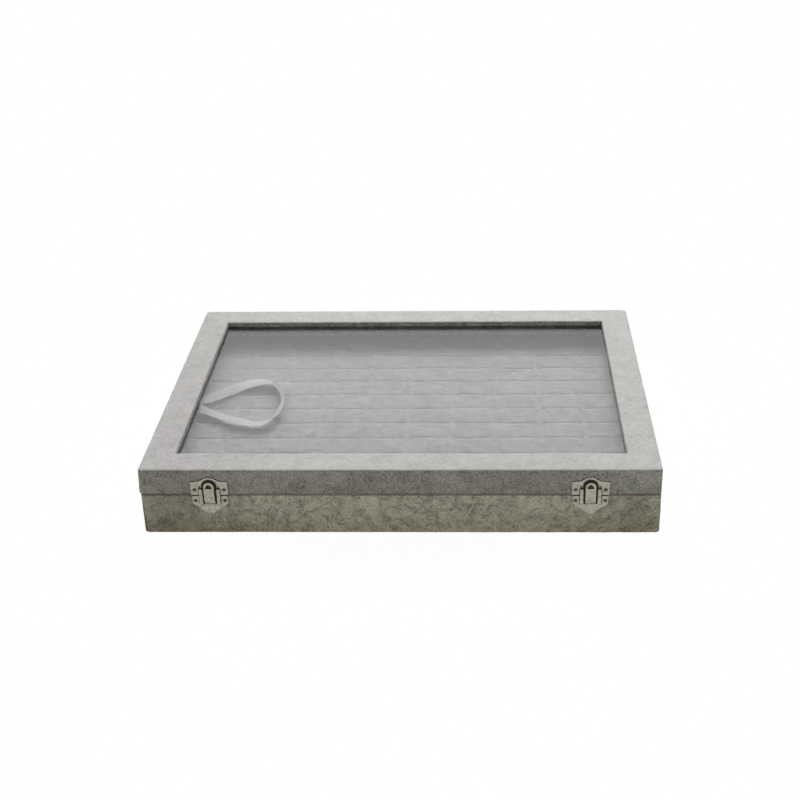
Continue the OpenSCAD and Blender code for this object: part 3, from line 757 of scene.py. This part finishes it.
def make_pad():
    xs, rows = pad_columns(), pad_rows()
    nx, ny = len(xs), len(rows)
    top = np.array([pad_point(x, *row) for row in rows for x in xs])
    slow = bumps(top, 16.0, 2, 5.5) * 0.16
    quick = bumps(top * np.array([1.0, 0.45, 1.0]), 5.0, 2, 1.5) * 0.2
    inside = np.minimum(PAD_X - np.abs(top[:, 0]), PAD_Y - np.abs(top[:, 1]))
    top[:, 2] += (slow + quick) * np.clip(inside / 4, 0, 1)
    faces = []
    for j in range(ny - 1):
        for i in range(nx - 1):
            a = j * nx + i
            faces.append((a, a + 1, a + nx + 1, a + nx))
    verts = [tuple(v) for v in top]
    rings = [grid_rim(nx, ny)]
    for z, inset in PAD_SIDES:
        ring = []
        for v in rings[0]:
            x, y = top[v, :2]
            x = math.copysign(min(abs(x), PAD_X - inset), x)
            y = math.copysign(min(abs(y), PAD_Y - inset), y)
            ring.append(len(verts))
            verts.append((x, y, z))
        rings.append(ring)
    for a, b in zip(rings, rings[1:]):
        n = len(a)
        for k in range(n):
            k2 = (k + 1) % n
            faces.append((a[k], b[k], b[k2], a[k2]))
    # the underside as a fan round its middle
    low, centre = rings[-1], len(verts)
    verts.append((0, 0, PAD_LOW))
    for k in range(len(low)):
        faces.append((low[k], centre, low[(k + 1) % len(low)]))
    return make_piece("ring_pad", verts, faces, PAD_CLOTH)


pad = make_pad()
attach(pad, "base")
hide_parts("ring_pad_cover", "ring_foam")


# ---------- stay ribbon ----------
SLIP_Z = PAD_CREST + 0.45                   # flat between the pad and the lid
EDGE_Z = PAD_CREST + 0.3 + RIBBON_W / 2     # standing on its edge
TURN_Z = PAD_CREST + 2.8                    # turning from flat to standing
ROOT_X = -IN_X + 1
# way-points: X from the root, Y, Z and the roll in degrees
WAY = np.array([
    (0, -7.1, SLIP_Z, 0), (2.6, -8.6, SLIP_Z, 0), (6, -11.5, TURN_Z, 40),
    (11.9, -16.2, EDGE_Z - 0.2, 92), (20.8, -22.3, EDGE_Z, 106), (30.5, -28.1, EDGE_Z, 106),
    (42, -33.3, EDGE_Z, 106), (56, -36.8, EDGE_Z, 124), (65, -30, EDGE_Z, 136),
    (68.2, -19.2, EDGE_Z, 138), (68.8, -5.6, EDGE_Z, 122), (67.2, 3.8, EDGE_Z, 94),
    (63.2, 14.6, EDGE_Z, 70), (54.6, 25.4, EDGE_Z, 54), (40.4, 21.9, EDGE_Z, 76),
    (29.2, 13.6, EDGE_Z, 92), (20.1, 5, EDGE_Z, 84), (13, -0.4, EDGE_Z - 0.2, 82),
    (6.4, -2.8, TURN_Z + 0.2, 42), (2.6, -1.8, SLIP_Z, 0), (0, -0.6, SLIP_Z + 0.1, 0),
])
ELBOW_1, TIP, ELBOW_2 = 7, 10, 13           # way-points at the joints
LAST = len(WAY) - 1
START, SPLIT_1, SPLIT_2 = 0.05, 2.2, 17.8   # where the ribbon's pieces begin and change
WAY_STEP, HALF_BEND = 0.125, 0.7


def way_at(u):
    """Place and roll of the ribbon at a way-point number."""
    i = min(int(u), LAST - 1)
    t = u - i
    a, b, c, d = WAY[max(i - 1, 0)], WAY[i], WAY[i + 1], WAY[min(i + 2, LAST)]
    p = 2 * b + (c - a) * t + (2 * a - 5 * b + 4 * c - d) * t * t
    p = 0.5 * (p + (3 * b - a - 3 * c + d) * t ** 3)
    return np.array([ROOT_X + p[0], p[1], p[2]]), p[3]


def band_frame(u):
    """Centre, width direction and face direction of the ribbon at a way-point number."""
    c, roll = way_at(u)
    t = way_at(min(u + 0.05, LAST))[0] - way_at(max(u - 0.05, 0))[0]
    t /= np.linalg.norm(t)
    side = np.cross([0, 0, 1], t)
    side /= np.linalg.norm(side)
    up = np.cross(t, side)
    a = math.radians(roll)
    return c, math.cos(a) * side + math.sin(a) * up, -math.sin(a) * side + math.cos(a) * up


def ribbon_piece(name, sections, widths, thick, nodes):
    """A length of ribbon through its sections."""
    across = np.linspace(-1, 1, 9)
    verts, faces = [], []
    half = len(across)
    m = 2 * half
    for (c, w, f), width, th in zip(sections, widths, thick):
        for side in (1, -1):
            for q in across[::side]:
                selvedge = 1.0 + 0.25 * (abs(q) > 0.8)
                cup = 0.10 * (q * q - 0.4)
                verts.append(c + w * q * width / 2 + f * (side * th / 2 * selvedge + cup))
    n = len(sections)
    for i in range(n - 1):
        for k in range(m):
            k2 = (k + 1) % m
            faces.append((i * m + k, i * m + k2, (i + 1) * m + k2, (i + 1) * m + k))
    for base, flip in ((0, False), ((n - 1) * m, True)):
        for k in range(half - 1):
            quad = (base + k, base + m - 1 - k, base + m - 2 - k, base + k + 1)
            faces.append(quad[::-1] if flip else quad)
    piece = make_piece(name, verts, faces, RIBBON)
    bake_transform(piece)
    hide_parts(*nodes)


def stretch(u0, u1):
    """Sections and widths between two way-point numbers, gathered towards the glued ends."""
    marks = list(np.linspace(u0, u1, round((u1 - u0) / WAY_STEP) + 1))
    widths = [RIBBON_W * min(1.0, 0.3 + 0.36 * min(u, LAST - u)) for u in marks]
    return [band_frame(u) for u in marks], widths


def build_ribbon():
    up, along, left = np.array([0, 0, 1.0]), np.array([0, 1.0, 0]), np.array([-1.0, 0, 0])

    # glued end of the base, up between the pad and the wall and over the pad's edge
    y0, y1 = WAY[0, 1], WAY[LAST, 1]
    tab = [(np.array([-IN_X + 0.2, y0, z]), along, left)
           for z in (20.6, 22.5, 24.5, 26.5, 28.2, 29.4)]
    for a in (math.radians(v) for v in (20, 45, 70)):
        out = np.array([-math.cos(a), 0, math.sin(a)])
        tab.append((np.array([-IN_X + 1.2, y0, SLIP_Z - 1.0]) + out, along, out))
    tab_widths = [RIBBON_W * v for v in (0.8, 0.76, 0.7, 0.6, 0.5, 0.42, 0.36, 0.32, 0.3)]
    first, w = stretch(START, SPLIT_1)
    ribbon_piece("ribbon_base_end", tab + first, tab_widths + w,
                 [RIBBON_T] * len(tab + first),
                 ("stay_base_tab",))

    # the front strand runs on, thinner, inside the back strand at the loop's tip
    second, w = stretch(SPLIT_1, TIP)
    bridge, w2 = stretch(TIP + 0.1, TIP + 0.6)
    ribbon_piece("ribbon_front_run", second + bridge, w + [0.94 * v for v in w2],
                 [RIBBON_T] * len(second) + [0.1] * len(bridge),
                 ("stay_ribbon_base_1", "stay_ribbon_base_2"))
    third, w = stretch(TIP, SPLIT_2)
    ribbon_piece("ribbon_back_run", third, w, [RIBBON_T] * len(third),
                 ("stay_ribbon_lid_2", "stay_ribbon_lid_1"))

    # glued end of the lid, under its left rail
    tail = [(np.array([x, y1, LID_Z - 0.17]), -along, up)
            for x in (-165.0, -166.5, -168.5, -170.5, -172.6)]
    tail_widths = [RIBBON_W * v for v in (0.36, 0.5, 0.66, 0.76, 0.8)]
    final, w = stretch(SPLIT_2, LAST - START)
    ribbon_piece("ribbon_lid_end", final + tail, w + tail_widths,
                 [RIBBON_T] * len(final) + [0.24] * len(tail),
                 ("stay_lid_tab",))


build_ribbon()


# ---------- felt under the base ----------
FELT_X, FELT_Y, FELT_T = 160.9, 105.9, 0.55
FELT_NX, FELT_NY = 108, 72
FELT_CORNER = 3


def felt_point(i, j, layer):
    """A point of the felt: clipped corners, a frayed edge and a slightly uneven underside."""
    x, y = (-1 + 2 * i / FELT_NX) * FELT_X, (-1 + 2 * j / FELT_NY) * FELT_Y
    z = FELT_T if layer else 0.0
    corner = max(0.0, abs(x) - (FELT_X - FELT_CORNER)) + max(0.0, abs(y) - (FELT_Y - FELT_CORNER))
    if corner > FELT_CORNER:
        x -= math.copysign((corner - FELT_CORNER) * 0.45, x)
        y -= math.copysign((corner - FELT_CORNER) * 0.45, y)
    at_edge = min(i, FELT_NX - i, j, FELT_NY - j) == 0
    fray = noise.noise(Vector((x / 3.0, y / 3.0, layer))) * 0.18 if at_edge else 0
    if layer == 0 and at_edge:
        z += 0.06
    elif layer == 0:
        z += 0.03 * max(0.0, noise.noise(Vector((x / 6.0, y / 6.0, 4.0))))
    return x + fray, y + fray, z


def make_felt():
    verts = [felt_point(i, j, layer)
             for layer in (0, 1) for j in range(FELT_NY + 1) for i in range(FELT_NX + 1)]
    w = FELT_NX + 1
    top = w * (FELT_NY + 1)
    faces = []
    for j in range(FELT_NY):
        for i in range(FELT_NX):
            p = j * w + i
            faces.append((p, p + w, p + w + 1, p + 1))
            faces.append((top + p, top + p + 1, top + p + w + 1, top + p + w))
    rim = grid_rim(w, FELT_NY + 1)
    for p, q in zip(rim, rim[1:] + rim[:1]):
        faces.append((p, q, top + q, top + p))
    return make_piece("under_felt_sheet", verts, faces, FELT)


felt_piece = make_felt()
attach(felt_piece, "base")
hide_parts("bottom_felt")


# ---------- hard parts keep their CAD shape ----------
def dress(names, material, bevel=0.0):
    for name in names:
        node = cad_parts[name]
        node.data.materials.clear()
        node.data.materials.append(material)
        if bevel:
            mod = node.modifiers.new("soft_edges", "BEVEL")
            mod.width = bevel * MM
            mod.segments = 2
            mod.limit_method = "ANGLE"
            mod.angle_limit = math.radians(35)
            mod.harden_normals = False


sides = ("left", "right")
plates = ("_latch_plate", "_catch_plate", "_latch_tongue", "_hinge_base_leaf", "_hinge_lid_leaf")
dress([s + n for s in sides for n in plates], NICKEL, 0.09)
dress(["latch_plate_nails", "catch_plate_nails", "hinge_base_nails", "hinge_lid_nails"], NAIL, 0.06)
dress([s + "_hinge_pin" for s in sides], STEEL, 0.05)
dress(["bottom_board"], BOARD)
dress([n + s for n in ("base_wall_", "lid_rail_") for s in ("front", "back", *sides)], BOARD)
dress(["tray_card"], CARD)
dress(["glass_pane"], GLASS)


# ---------- floor, light and camera ----------
FLOOR_HALF, FLOOR_Z = 3.0, -0.0002
FLOOR_WHITE = (0.13, 0.28, 0.975, 1.0)      # share of plain white, from near to far away
ROOM_BY_HEIGHT = (0.05, 0.75, 0.46, 0.09)   # the room's light, from low down to overhead
ROOM_BY_DEPTH = (-0.9, 0.3, 2.8, 0.8)       # and from the camera's side to behind the box


def white_floor():
    material = bpy.data.materials.new("floor_paper")
    material.use_nodes = True
    n = Nodes(material.node_tree)
    n.tree.nodes.clear()
    seen = n.seen_directly()
    diffuse = n.add("ShaderNodeBsdfDiffuse")
    n.put(diffuse.inputs["Color"], n.mix(seen, (0.9, 0.88, 0.78), (1.0, 1.0, 1.0)))
    # the share of plain white grows away from the object, so that its shadow stays
    far = n.add("ShaderNodeVectorMath", operation="LENGTH")
    n.put(far.inputs[0], n.add("ShaderNodeTexCoord").outputs["Object"])
    share = n.span(far.outputs["Value"], *FLOOR_WHITE, "SMOOTHSTEP")
    paper = n.add("ShaderNodeMixShader")
    n.put(paper.inputs[0], n.times(seen, share))
    n.put(paper.inputs[1], diffuse.outputs[0])
    n.put(paper.inputs[2], n.add("ShaderNodeEmission").outputs[0])
    n.put(n.add("ShaderNodeOutputMaterial").inputs["Surface"], paper.outputs[0])
    mesh = bpy.data.meshes.new("floor")
    a = FLOOR_HALF
    mesh.from_pydata([(-a, -a, 0), (a, -a, 0), (a, a, 0), (-a, a, 0)], [], [(0, 1, 2, 3)])
    mesh.materials.append(material)
    floor = bpy.data.objects.new("floor", mesh)
    bpy.context.scene.collection.objects.link(floor)
    floor.location.z = FLOOR_Z


def studio_world():
    world = bpy.data.worlds.new("studio")
    world.use_nodes = True
    n = Nodes(world.node_tree)
    sky = n.axes(n.add("ShaderNodeTexCoord").outputs["Generated"])
    room = n.times(n.span(sky["Z"], *ROOM_BY_HEIGHT), n.span(sky["Y"], *ROOM_BY_DEPTH))
    background = n.tree.nodes["Background"]
    n.put(background.inputs["Color"], (1, 1, 1))
    n.put(background.inputs["Strength"], n.span(n.seen_directly(), 0.0, 1.0, room, 1.0))
    return world


def area_light(name, place, target, size_x, size_y, power):
    data = bpy.data.lights.new(name, "AREA")
    data.shape = "RECTANGLE"
    data.size, data.size_y = size_x, size_y
    data.energy = power
    lamp = bpy.data.objects.new(name, data)
    scene.collection.objects.link(lamp)
    lamp.location = place
    lamp.rotation_mode = "QUATERNION"
    lamp.rotation_quaternion = (Vector(target) - Vector(place)).to_track_quat("-Z", "Y")
    lamp.visible_transmission = False


def fitted_camera():
    """The camera at the place that fits the box's corners in the picture."""
    x, y, z = (math.radians(v) for v in (24.06, 1.93, -1.11))
    turn = Matrix.Rotation(z, 3, "Z") @ Matrix.Rotation(x, 3, "X") @ Matrix.Rotation(y, 3, "Y")
    back = (turn @ Matrix(((1, 0, 0), (0, 0, -1), (0, 1, 0)))).transposed()
    place = back @ Vector((0.02668, -0.13438, -0.97263))
    axes = [back @ Vector(v) for v in ((1, 0, 0), (0, -1, 0), (0, 0, -1))]
    data = bpy.data.cameras.new("camera")
    data.sensor_width = 36
    data.lens = 57.21
    data.shift_x, data.shift_y = -0.0558, -0.1716
    data.clip_start, data.clip_end = 0.05, 20
    camera = bpy.data.objects.new("camera", data)
    scene.collection.objects.link(camera)
    pose = Matrix(axes).transposed().to_4x4()
    pose.translation = place
    camera.matrix_world = pose
    return camera


scene = bpy.context.scene
white_floor()
scene.world = studio_world()
area_light("back_light", (0, 2.1, 2.02), (0, 0, 0.03), 1.7, 0.96, 128)
scene.camera = fitted_camera()
scene.view_settings.view_transform = "Standard"
